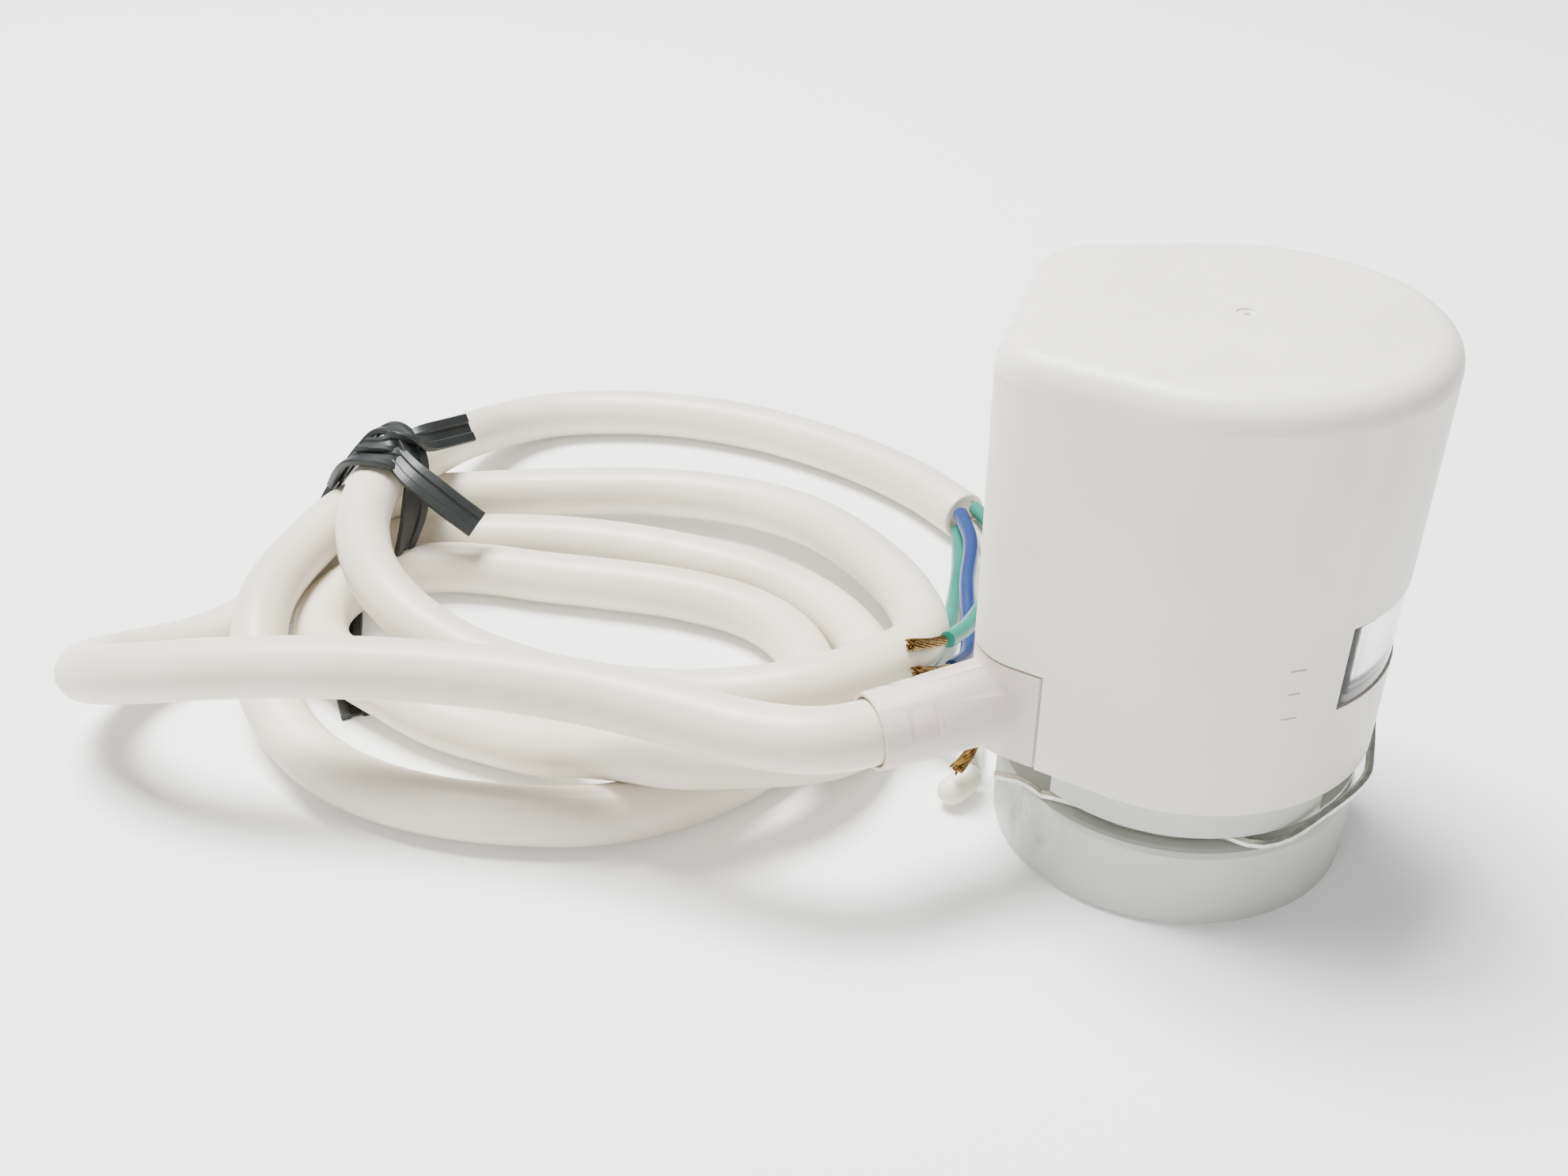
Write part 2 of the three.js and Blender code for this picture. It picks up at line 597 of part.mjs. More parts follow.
/** A core inside the head, from the strain relief up to the board. */
function internalLead(k) {
  const y = -2.7 - 2.5 * k;
  const low = [[-1.4, 20.6], [-2.9, 21.6], [-3, 25]].map(([along, z]) => reliefPoint([along, -3 + 2 * k, z]));
  return bar([...low, [-15.4, y, 28.6], [-16.5, y, 31], [-17.3, y, 31.4]], 1.2, 6, 12);
}

// ---------------------------------------------------------------- cable

/** The loose coil's outer shape: an oval plate with the hole that the turns leave open. */
function coil() {
  const outline = new THREE.Shape();
  outline.absellipse(...COIL_CENTRE, ...COIL_HALF_SIZE, 0, 2 * Math.PI);
  const hole = new THREE.Path();
  hole.absellipse(...COIL_HOLE_CENTRE, ...COIL_HOLE_HALF_SIZE, 0, 2 * Math.PI);
  outline.holes.push(hole);
  const edge = 1.6;
  const plate = new THREE.ExtrudeGeometry(outline, {
    depth: COIL_HEIGHT - 2 * edge,
    bevelThickness: edge,
    bevelSize: edge,
    bevelOffset: -edge,
    bevelSegments: 2,
    curveSegments: 28,
  });
  plate.translate(0, 0, edge + 0.05);
  return solidOf(plate);
}

/** The flat tie round the bundled turns: an arched strap, a twist on top and two loose ends. */
function cableTie() {
  const [left, right] = [-TIE_SPAN / 2, TIE_SPAN / 2];
  const side = [-TIE_WIDTH / 2, TIE_WIDTH / 2];
  const foot = COIL_HEIGHT + 0.05 + GAP;
  const pieces = [
    block([left - TIE_THICKNESS, left], side, [foot, TIE_TOP]),
    block([right, right + TIE_THICKNESS], side, [foot, TIE_TOP]),
    block([left - TIE_THICKNESS, right + TIE_THICKNESS], side, [TIE_TOP - TIE_THICKNESS, TIE_TOP]),
    block([right - 3, right + TIE_TAIL], side, [TIE_TOP - 3, TIE_TOP - 3 + TIE_THICKNESS]),
    block([right - 3, right], side, [TIE_TOP - 3, TIE_TOP]),
  ];
  return join(...pieces).translate([...TIE_CENTRE, 0]);
}

const steps = (points, diameter, pitch) => {
  const line = new THREE.CatmullRomCurve3(points.map((p) => new THREE.Vector3(...p)), false, "centripetal");
  return Math.max(4, Math.ceil(line.getLength() / (diameter * pitch)));
};

// ---------------------------------------------------------------- assembly

const group = new THREE.Group();

function add(name, solid, material) {
  const mesh = new THREE.Mesh(geometryOf(solid), material);
  mesh.name = name;
  group.add(mesh);
}

add("housing_shell", housingShell(), WHITE_PLASTIC);
add("window_lens", windowLens(), CLEAR_PLASTIC);
add("base_collar", baseCollar(), GREY_PLASTIC);
add("adapter_ring", adapterRing(), GREY_PLASTIC);
add("retaining_clip", retainingClip(), CHROME_WIRE);
add("strain_relief", strainRelief(), RELIEF_PLASTIC);

add("inner_frame", innerFrame(), INNER_PLASTIC);
frameScrewPlaces().forEach((place, k) => add(`frame_screw_${k + 1}`, frameScrew(place), ZINC_STEEL));
add("plunger", plunger(), INNER_PLASTIC);
add("plunger_wiper", wiperSeal(), RUBBER);
add("lifting_yoke", liftingYoke(), INNER_PLASTIC);
add("indicator_flag", indicatorFlag(), FLAG_PLASTIC);
add("return_spring", returnSpring(), SPRING_STEEL);

add("heater_contact", heaterStrip(), BRONZE_STRIP);
add("heater_disc", rod(6.6, PLATFORM_TOP + 1, ELEMENT_BOTTOM - GAP, 0, 0, 32), CERAMIC);
add("wax_cup", waxCup(), BRASS);
add("wax_charge", rod(5.8, ELEMENT_BOTTOM + 1.3, 34.8, 0, 0, 24), WAX);
add("wax_diaphragm", rod(5.8, 35.1, 36.1, 0, 0, 24), RUBBER);
add("element_guide", elementGuide(), BRASS);
add("element_piston", piston(), ZINC_STEEL);

add("circuit_board", circuitBoard(), BOARD);
add("microswitch", microswitch(), SWITCH_BLACK);
add("microswitch_button", microswitchButton(), SWITCH_RED);
[0, 1, 2, 3].forEach((k) => add(`internal_lead_${k + 1}`, internalLead(k), CABLE_WHITE));

add("cable_front_run", bar(CABLE_FRONT_RUN, CABLE, 10, steps(CABLE_FRONT_RUN, CABLE, 0.6)), CABLE_WHITE);
add("cable_coil", coil(), CABLE_WHITE);
add("cable_tail", bar(CABLE_TAIL, CABLE, 10, 4), CABLE_WHITE);
add("cable_tie", cableTie(), TIE_BLACK);
for (const [name, core] of Object.entries(CORES)) {
  const turns = steps(core.route, CORE, 1.7);
  add(`core_${name}`, bar(core.route, CORE, 8, turns), paint(core.colour, 0.5));
  if (core.end) add(`core_${name}_strands`, bar(core.end, STRANDS, 8, 3), COPPER);
}
add("core_white_sleeve", bar(WHITE_END_SLEEVE, SLEEVE, 8, 4), CABLE_WHITE);

export default group;
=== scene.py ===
import math

import bmesh
import bpy
from mathutils import Matrix, Vector


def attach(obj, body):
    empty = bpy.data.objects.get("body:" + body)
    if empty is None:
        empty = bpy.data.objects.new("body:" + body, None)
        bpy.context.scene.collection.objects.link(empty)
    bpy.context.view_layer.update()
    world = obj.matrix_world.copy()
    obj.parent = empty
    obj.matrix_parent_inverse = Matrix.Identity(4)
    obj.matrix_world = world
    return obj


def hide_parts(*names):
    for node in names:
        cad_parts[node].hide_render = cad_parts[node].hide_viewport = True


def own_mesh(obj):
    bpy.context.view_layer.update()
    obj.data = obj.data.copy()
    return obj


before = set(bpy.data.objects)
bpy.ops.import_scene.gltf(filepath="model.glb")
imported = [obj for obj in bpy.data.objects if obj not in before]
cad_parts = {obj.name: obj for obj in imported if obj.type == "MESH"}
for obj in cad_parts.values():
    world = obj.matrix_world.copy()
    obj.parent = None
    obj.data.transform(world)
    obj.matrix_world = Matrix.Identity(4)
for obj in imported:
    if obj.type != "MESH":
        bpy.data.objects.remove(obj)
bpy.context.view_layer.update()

MM = 0.001

# ---------------------------------------------------------------- camera

CAMERA_AT = Vector((0.0034, -0.1523, 0.1219))
CAMERA_RIGHT = Vector((0.9518, 0.3070, -0.0146))
CAMERA_UP = Vector((-0.1726, 0.5735, 0.8010))
CAMERA_LENS = 37.67
CAMERA_SENSOR = 36
CAMERA_SHIFT = (0.0084, 0.0880)
CAMERA_NEAREST = 0.005


def make_camera():
    """A camera that stands about 15 cm in front of the object and looks down on it."""
    data = bpy.data.cameras.new("camera")
    data.lens = CAMERA_LENS
    data.sensor_width = CAMERA_SENSOR
    data.shift_x, data.shift_y = CAMERA_SHIFT
    data.clip_start = CAMERA_NEAREST
    camera = bpy.data.objects.new("camera", data)
    back = CAMERA_RIGHT.cross(CAMERA_UP)
    turn = Matrix((CAMERA_RIGHT, CAMERA_UP, back)).transposed().to_4x4()
    camera.matrix_world = Matrix.Translation(CAMERA_AT) @ turn
    bpy.context.scene.collection.objects.link(camera)
    bpy.context.scene.camera = camera


make_camera()

# ---------------------------------------------------------------- lines and swept meshes

UPRIGHT = 0.9


def smooth_line(points, pitch):
    """Points a pitch apart, in metres, on one smooth line through the points in millimetres."""
    knots = [Vector(p) * MM for p in points]
    knots.insert(0, 2 * knots[0] - knots[1])
    knots.append(2 * knots[-1] - knots[-2])
    line = []
    for i in range(1, len(knots) - 2):
        a, b, c, d = knots[i - 1:i + 3]
        t1 = (b - a).length ** 0.5
        t2 = t1 + (c - b).length ** 0.5
        t3 = t2 + (d - c).length ** 0.5
        count = max(2, math.ceil((c - b).length / (pitch * MM)))
        for k in range(count):
            t = t1 + (t2 - t1) * k / count
            ab = a.lerp(b, t / t1)
            bc = b.lerp(c, (t - t1) / (t2 - t1))
            cd = c.lerp(d, (t - t2) / (t3 - t2))
            abc = ab.lerp(bc, t / t2)
            bcd = bc.lerp(cd, (t - t1) / (t3 - t1))
            line.append(abc.lerp(bcd, (t - t1) / (t2 - t1)))
    line.append(knots[-2])
    return line


def length_of(line):
    """The length of a line of points."""
    return sum((b - a).length for a, b in zip(line, line[1:]))


def tangents_of(line):
    """The direction of the line at each of its points."""
    last = len(line) - 1
    return [(line[min(i + 1, last)] - line[max(i - 1, 0)]).normalized() for i in range(last + 1)]


def sides_of(line):
    """A direction square to the line at each point, which turns as little as it can along it."""
    tangents = tangents_of(line)
    starts_upright = abs(tangents[0].z) >= UPRIGHT
    side = Vector((1, 0, 0)) if starts_upright else Vector((0, 0, 1))
    sides = []
    for tangent in tangents:
        side = (side - tangent * side.dot(tangent)).normalized()
        sides.append(side)
    return sides


def skin(bm, rings):
    """Joins rings of corners with faces, one ring to the next, and caps the first and the last."""
    count = len(rings[0])
    for low, high in zip(rings, rings[1:]):
        for k in range(count):
            n = (k + 1) % count
            bm.faces.new((low[k], low[n], high[n], high[k]))
    bm.faces.new(reversed(rings[0]))
    bm.faces.new(rings[-1])


def sweep(bm, line, section, sides, scales=None):
    """Sweeps a closed section of (across, up) points, in metres, along a line; both ends are capped."""
    rings = []
    for i, (place, tangent, side) in enumerate(zip(line, tangents_of(line), sides)):
        up = tangent.cross(side)
        scale = scales[i] if scales else 1
        rings.append([bm.verts.new(place + (side * u + up * v) * scale) for u, v in section])
    skin(bm, rings)


def circle(radius, count):
    """A round section."""
    turns = [2 * math.pi * k / count for k in range(count)]
    return [(radius * math.cos(a), radius * math.sin(a)) for a in turns]


def shade(mesh, degrees):
    """Smooth shading that keeps every edge sharper than the angle."""
    mesh.shade_smooth()
    mesh.set_sharp_from_angle(angle=math.radians(degrees))


def make_object(name, bm, degrees):
    """A mesh object from a bmesh, with faces pointing out and edges above the angle kept sharp."""
    bmesh.ops.recalc_face_normals(bm, faces=bm.faces)
    mesh = bpy.data.meshes.new(name)
    bm.to_mesh(mesh)
    bm.free()
    shade(mesh, degrees)
    obj = bpy.data.objects.new(name, mesh)
    bpy.context.scene.collection.objects.link(obj)
    return obj


def tube(name, line, diameter, sides):
    """A cord as a curve whose own line is its centreline."""
    data = bpy.data.curves.new(name, "CURVE")
    data.dimensions = "3D"
    data.bevel_depth = diameter * MM / 2
    data.bevel_resolution = sides
    data.use_fill_caps = True
    spline = data.splines.new("POLY")
    spline.points.add(len(line) - 1)
    for point, place in zip(spline.points, line):
        point.co = (*place, 1)
    spline.use_smooth = True
    cord = bpy.data.objects.new(name, data)
    bpy.context.scene.collection.objects.link(cord)
    return cord


# ---------------------------------------------------------------- materials


def linear(code):
    """A display colour such as 0xeeece6 as the linear colour that shaders use."""
    channels = [(code >> shift & 255) / 255 for shift in (16, 8, 0)]
    return tuple(c / 12.92 if c <= 0.04045 else ((c + 0.055) / 1.055) ** 2.4 for c in channels) + (1,)


class Look:
    """A material under construction: one Principled shader and the nodes that feed it."""

    def __init__(self, name, **values):
        self.material = bpy.data.materials.new(name)
        self.material.use_nodes = True
        tree = self.material.node_tree
        self.nodes, self.links = tree.nodes, tree.links
        self.shader = self.nodes["Principled BSDF"]
        self.place = self.nodes.new("ShaderNodeTexCoord").outputs["Object"]
        for socket, value in values.items():
            self.shader.inputs[socket.replace("_", " ")].default_value = value

    def noise(self, scale, detail=4, stretch=(1, 1, 1)):
        """Soft noise with a given number of cells in a metre."""
        mapping = self.nodes.new("ShaderNodeMapping")
        mapping.inputs["Scale"].default_value = stretch
        self.links.new(self.place, mapping.inputs["Vector"])
        texture = self.nodes.new("ShaderNodeTexNoise")
        texture.inputs["Scale"].default_value = scale
        texture.inputs["Detail"].default_value = detail
        self.links.new(mapping.outputs["Vector"], texture.inputs["Vector"])
        return texture.outputs["Fac"]

    def wave(self, scale, direction):
        """Even bands across one axis."""
        texture = self.nodes.new("ShaderNodeTexWave")
        texture.bands_direction = direction
        texture.inputs["Scale"].default_value = scale
        self.links.new(self.place, texture.inputs["Vector"])
        return texture.outputs["Fac"]

    def ramp(self, factor, *stops):
        """A colour that follows a factor through (position, colour) stops."""
        ramp = self.nodes.new("ShaderNodeValToRGB")
        elements = ramp.color_ramp.elements
        while len(elements) < len(stops):
            elements.new(0.5)
        for element, (position, colour) in zip(elements, stops):
            element.position = position
            element.color = colour
        self.links.new(factor, ramp.inputs["Fac"])
        return ramp.outputs["Color"]

    def colour(self, output):
        """The base colour."""
        self.links.new(output, self.shader.inputs["Base Color"])

    def roughness(self, factor, low, high):
        """A roughness that follows a factor from low to high."""
        reach = self.nodes.new("ShaderNodeMapRange")
        reach.inputs["To Min"].default_value = low
        reach.inputs["To Max"].default_value = high
        self.links.new(factor, reach.inputs["Value"])
        self.links.new(reach.outputs["Result"], self.shader.inputs["Roughness"])

    def bump(self, factor, depth, strength=1):
        """Relief of a given depth in metres; a second one lies on the first."""
        bump = self.nodes.new("ShaderNodeBump")
        bump.inputs["Strength"].default_value = strength
        bump.inputs["Distance"].default_value = depth
        self.links.new(factor, bump.inputs["Height"])
        before = self.shader.inputs["Normal"].links
        if before:
            self.links.new(before[0].from_socket, bump.inputs["Normal"])
        self.links.new(bump.outputs["Normal"], self.shader.inputs["Normal"])


def plastic(name, light, dark, rough, grain=4200, depth=0.000012, **values):
    """Moulded plastic: a faint cloudiness, a fine grain and slightly uneven gloss."""
    look = Look(name, Specular_IOR_Level=0.45, **values)
    cloud = look.noise(55, 3)
    look.colour(look.ramp(cloud, (0.34, linear(dark)), (0.62, linear(light))))
    look.roughness(look.noise(340, 5), rough - 0.07, rough + 0.07)
    look.bump(look.noise(grain, 3), depth)
    look.bump(look.noise(130, 2), 0.00004, 0.5)
    return look.material


def metal(name, light, dark, rough, scale=900, depth=0.00001, stretch=(1, 1, 1)):
    """Bare or plated metal: a slightly mottled colour and fine drawing marks."""
    look = Look(name, Metallic=1.0)
    look.colour(look.ramp(look.noise(scale, 5), (0.3, linear(dark)), (0.7, linear(light))))
    look.roughness(look.noise(scale * 0.6, 4), rough - 0.08, rough + 0.1)
    look.bump(look.noise(scale * 4, 3, stretch), depth)
    return look.material


def clear_plastic(name):
    """A polished clear window with the odd faint scuff."""
    look = Look(name, Transmission_Weight=1.0, IOR=1.49)
    look.colour(look.ramp(look.noise(90, 2), (0.3, linear(0xf1f4f4)), (0.7, linear(0xfafcfc))))
    look.roughness(look.noise(700, 5, (1, 1, 6)), 0.03, 0.12)
    look.bump(look.noise(2500, 3, (1, 1, 8)), 0.000003)
    return look.material


def board_green(name):
    """A lacquered circuit board with the tracks showing faintly through."""
    look = Look(name, Specular_IOR_Level=0.5)
    tracks = look.wave(260, "Y")
    look.colour(look.ramp(tracks, (0.42, linear(0x24593a)), (0.5, linear(0x35784d))))
    look.roughness(look.noise(500, 4), 0.28, 0.42)
    look.bump(tracks, 0.00003, 0.6)
    return look.material


def heater_ceramic(name):
    """Grey sintered ceramic with dark pores."""
    look = Look(name)
    look.colour(look.ramp(look.noise(2600, 6), (0.32, linear(0x4d4a47)), (0.55, linear(0x7a756f))))
    look.roughness(look.noise(1200, 4), 0.55, 0.8)
    look.bump(look.noise(3200, 5), 0.00003)
    return look.material


def jacket_white(name):
    """The cable's PVC jacket: warm white and satin, with a fine grain and light handling marks."""
    look = Look(name, Specular_IOR_Level=0.42)
    look.colour(look.ramp(look.noise(42, 4), (0.3, linear(0xd9d1bf)), (0.66, linear(0xe6dfce))))
    look.roughness(look.noise(420, 5), 0.3, 0.46)
    look.bump(look.noise(3600, 3), 0.00001)
    look.bump(look.noise(190, 3), 0.00006, 0.5)
    return look.material


def copper_strands(name):
    """Tarnished copper wire, golden brown with darker hollows."""
    look = Look(name, Metallic=1.0)
    look.colour(look.ramp(look.noise(2100, 5), (0.3, linear(0x5a4520)), (0.5, linear(0x8f7040)),
                          (0.68, linear(0xb8995f))))
    look.roughness(look.noise(1500, 4), 0.28, 0.5)
    look.bump(look.noise(6000, 3), 0.00001)
    return look.material


LOOKS = {
    "housing": plastic("housing_white", 0xedeade, 0xe5e2d6, 0.4),
    "relief": plastic("relief_white", 0xddd1c9, 0xd2c5bc, 0.5, 3000, 0.00002),
    "base": plastic("base_grey", 0xc6c8c1, 0xbabdb7, 0.38),
    "inner_plastic": plastic("frame_white", 0xe7e7e2, 0xdcdcd6, 0.48),
    "flag": plastic("flag_red", 0xc2707a, 0xae5b66, 0.38),
    "rubber": plastic("rubber_black", 0x2c2e31, 0x1f2124, 0.72, 3000, 0.00003),
    "switch_body": plastic("switch_black", 0x303236, 0x232529, 0.42),
    "switch_button": plastic("switch_red", 0xc04238, 0xa6352d, 0.36),
    "wax": plastic("wax_amber", 0xdfcb93, 0xcdb673, 0.5, 1500, 0.00003),
    "tie": plastic("tie_black", 0x262a29, 0x191c1c, 0.46, 2600, 0.00003),
    "core_green": plastic("core_teal", 0x2c8270, 0x1f6b5b, 0.34, 3000, 0.00001),
    "core_blue": plastic("core_blue", 0x2a3f78, 0x1f3163, 0.34, 3000, 0.00001),
    "core_white": plastic("core_white", 0xefeadd, 0xe3dccb, 0.4, 3000, 0.00001),
    "clip_wire": metal("clip_plated", 0xd8d8d2, 0xb9b9b1, 0.2),
    "spring_steel": metal("spring_steel", 0xa9a9a7, 0x83837f, 0.3),
    "zinc_steel": metal("zinc_steel", 0xc2c4c6, 0x9fa1a3, 0.32),
    "bronze": metal("contact_bronze", 0xc38450, 0xa06636, 0.3),
    "brass": metal("turned_brass", 0xc6a560, 0xa88545, 0.28, 700, stretch=(1, 1, 9)),
    "lens": clear_plastic("window_clear"),
    "heater": heater_ceramic("heater_ceramic"),
    "board": board_green("board_green"),
    "cable": jacket_white("jacket_white"),
    "copper": copper_strands("copper_strands"),
}


def finish_piece(obj, slot, *nodes, body="head"):
    """Gives a piece its material and its body, and hides the CAD nodes that it stands for."""
    obj.data.materials.clear()
    obj.data.materials.append(LOOKS[slot])
    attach(obj, body)
    if nodes:
        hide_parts(*nodes)


# ---------------------------------------------------------------- cords

CABLE = 7.0
CORE = 2.1
STRANDS = 1.4
SLEEVE = 3.4
JACKET_WALL = 1.0

# The cut end of the jacket: the length of its own piece, the rounding of its outer and inner edge, how deep
# the filler lies at the wall and in the middle, and the share of the bore that the middle takes.
CUT_END = 1.6
CUT_EDGE = 0.25
CUT_INNER_EDGE = 0.15
FILLER_AT_WALL = 0.9
FILLER_IN_MIDDLE = 0.75
FILLER_SHARE = 0.55
CUT_FACETS = 36

# A bared end: wires in each layer, the turn of a layer along it, and how much and how unevenly it frays.
WIRES_IN_LAYER = (1, 6, 12)
WIRE_FACETS = 6
WIRE_TURN = 2.2
FRAY = 0.16
FRAY_PER_WIRE = 2.4

# The white core's sleeve: the share of its width at the open rim, and the rim's length.
RIM_SHARE = 0.88
RIM_LENGTH = 0.4
DOME_TIP_SHARE = 0.06
SLEEVE_FACETS = 28

# The jacket's route in millimetres, from the strain relief to the stripped end.
FRONT_RUN = [
    (-27.5, -20.65, 21), (-30.4, -23.2, 21), (-34.6, -25.4, 21), (-41, -26, 20.9), (-49.5, -25, 20.9),
    (-60, -24.2, 20.9), (-72, -24.4, 20.7), (-84, -25.8, 20.3), (-95, -27.7, 19.6), (-104, -29.3, 18.6),
    (-112, -29.8, 16.8), (-119, -28.6, 14.4), (-124.5, -25.8, 11.6), (-127.5, -20.8, 8.7),
    (-127.4, -15.2, 6.2), (-125.2, -9.8, 4.5),
]
FIRST_TURN = [
    (-122.4, -4.6, 3.7), (-120.2, 1, 3.6), (-119, 8, 3.6), (-117.6, 15, 3.6), (-113.8, 21.6, 3.6),
    (-107.6, 26, 3.6), (-100, 28.6, 3.6), (-90, 31, 3.6), (-79, 32, 3.6), (-67, 31.2, 3.6),
    (-57, 29.2, 3.6), (-48.6, 25, 3.6), (-41.2, 18, 3.6), (-36.6, 9, 3.6), (-35.6, 0, 3.8),
    (-36.8, -7, 6.1), (-40.3, -13.2, 8.9), (-45.6, -17.8, 10.7), (-51.8, -20, 10.9), (-58, -19.2, 9.8),
    (-64, -17.4, 7.6), (-70, -15.8, 5.2), (-77, -14.2, 3.9), (-86, -12.8, 3.8), (-93.6, -10.4, 4.4),
]
SECOND_TURN = [
    (-101.4, -7.2, 4.7), (-107.4, -2.8, 4.7), (-110.6, 3.4, 4.7), (-110.6, 10, 4.5), (-107.4, 16, 4),
    (-101.8, 19.6, 3.7), (-95.4, 21, 3.6), (-87.4, 21.4, 3.6), (-78, 22.2, 3.6), (-67, 22.6, 3.6),
    (-57, 20.8, 3.6), (-50, 16.4, 3.6), (-45.5, 10, 3.6), (-43.8, 3, 3.6), (-44.4, -4.2, 3.6),
    (-47.4, -11.6, 3.6), (-53, -18.6, 3.6), (-60.4, -23.8, 3.6), (-69, -26.4, 3.6), (-78, -27.6, 3.6),
    (-87, -27, 3.6), (-95.5, -24.4, 3.8), (-102.8, -20, 4.8),
]
THIRD_TURN = [
    (-108.2, -15, 6.8), (-112, -9, 9), (-114.2, -3, 10.2), (-115.2, 3.2, 10.6), (-115.6, 9.6, 10.6),
    (-115.8, 16, 10.4), (-115.4, 22.4, 9.8), (-113.4, 29, 7.8), (-108.8, 35, 5.6), (-101.4, 39.6, 4.8),
    (-91, 43.8, 4.6), (-79, 46.6, 4.8), (-66, 46.4, 5.2), (-54.5, 41.8, 6.2), (-44.5, 33.5, 7.2),
    (-37, 25, 7.6), (-33.2, 17.5, 8), (-33, 10, 9.4), (-36, 3, 10.8), (-41, -2.4, 11),
    (-48, -5.8, 10.4), (-57, -6.8, 8.8), (-67, -6.6, 7.6), (-77, -6, 7.6), (-85.5, -5.4, 9),
    (-92, -4, 11),
]
LAST_TURN = [
    (-97.6, -1, 12.4), (-102, 2.8, 13.3), (-106, 8.2, 14), (-108.6, 13.4, 14.6), (-110.2, 19, 15),
    (-110.4, 24, 14.9), (-110.1, 28.8, 14.2), (-110.6, 34.8, 12.4), (-112.2, 44, 9.4), (-112.8, 53, 6.6),
    (-111.2, 60.8, 4.6), (-106.6, 67, 3.8), (-98.4, 71, 3.6), (-87, 73.2, 3.6), (-74, 72.6, 3.6),
    (-62, 69.6, 3.6), (-51, 65, 3.6), (-42.8, 60, 3.6), (-35.5, 54, 3.6),
]
JACKET_ROUTE = FRONT_RUN + FIRST_TURN + SECOND_TURN + THIRD_TURN + LAST_TURN

CORES = {
    "green_short": {
        "slot": "core_green",
        "route": [(-34, 54.5, 4.9), (-29.4, 46, 6.4), (-27, 35, 7.8), (-26.6, 25, 8.6), (-27.4, 16.3, 9.7),
                  (-28.6, 11.5, 10.8)],
        "end": [(-29, 10.8, 11), (-30.2, 7.9, 12.2), (-31.9, 4.9, 13.7)],
    },
    "blue": {
        "slot": "core_blue",
        "route": [(-35.8, 52.4, 4.9), (-32.5, 44, 5.5), (-30.8, 34, 5.2), (-28.6, 25, 4.4),
                  (-27.2, 17.5, 4.8), (-27.9, 11.9, 6.5)],
        "end": [(-28.1, 11.2, 6.8), (-29, 6.9, 9), (-30.7, 3.4, 11)],
    },
    "green_long": {
        "slot": "core_green",
        "route": [(-35.9, 52.2, 2.3), (-33.6, 42, 1.8), (-31.7, 27, 2.4), (-31.3, 17, 4.4),
                  (-31.4, 8.4, 5.2), (-28.6, 3.6, 6.4), (-24, 0.8, 7), (-22.2, -2.1, 6.9)],
        "end": [(-22, -2.9, 6.9), (-22.3, -4.8, 6.4), (-23.3, -6.9, 5.6)],
    },
    "white": {
        "slot": "core_white",
        "route": [(-34, 54.5, 2.3), (-28.6, 44, 1.5), (-26.2, 30, 1.5), (-25.4, 14, 1.5), (-22.9, 3, 1.8),
                  (-22.3, -1.6, 2.1)],
    },
}
WHITE_END_SLEEVE = [(-22.3, -2.4, 2.1), (-22.9, -4.8, 2.1), (-24.5, -7.6, 2.1)]


def cut_end(line):
    """The last stretch of the jacket: an open ring of PVC round the filler that the cores leave."""
    outer = CABLE / 2
    bore = outer - JACKET_WALL
    tangent = tangents_of(line)[-1]
    side = sides_of(line)[-1]
    up = tangent.cross(side)
    # (radius, distance before the end): the outside, the rounded edges, the bore and the filler in it
    profile = [
        (outer, CUT_END), (outer, CUT_EDGE), (outer - 0.32 * CUT_EDGE, 0.32 * CUT_EDGE),
        (outer - CUT_EDGE, 0), (bore + CUT_INNER_EDGE, 0), (bore, CUT_INNER_EDGE),
        (bore, FILLER_AT_WALL), (bore * FILLER_SHARE, FILLER_IN_MIDDLE),
    ]
    bm = bmesh.new()
    rings = []
    for radius, before in profile:
        centre = line[-1] - tangent * before * MM
        corners = circle(radius * MM, CUT_FACETS)
        rings.append([bm.verts.new(centre + side * u + up * v) for u, v in corners])
    skin(bm, rings)
    return make_object("cable_cut_end", bm, degrees=50)


def stranded_end(name, points):
    """Bared copper: fine wires laid in two layers round a middle one, fraying slightly at the tip."""
    line = smooth_line(points, pitch=0.25)
    sides = sides_of(line)
    tangents = tangents_of(line)
    across = 2 * len(WIRES_IN_LAYER) - 1
    wire_radius = STRANDS * MM / across / 2
    bm = bmesh.new()
    for layer, wires in enumerate(WIRES_IN_LAYER):
        turn = WIRE_TURN if layer == 2 else -WIRE_TURN
        for k in range(wires):
            places = []
            for i, place in enumerate(line):
                along = i / (len(line) - 1)
                fray = 1 + FRAY * along ** 3 * (1 + math.sin(FRAY_PER_WIRE * k + layer))
                angle = 2 * math.pi * k / wires + turn * along
                up = tangents[i].cross(sides[i])
                reach = 2 * layer * wire_radius * fray
                places.append(place + (sides[i] * math.cos(angle) + up * math.sin(angle)) * reach)
            # the wires end unevenly, up to three points short
            missing = (7 * k + 3 * layer) % 4
            places = places[:len(places) - missing]
            sweep(bm, places, circle(wire_radius, WIRE_FACETS), sides_of(places))
    return make_object(name, bm, degrees=50)


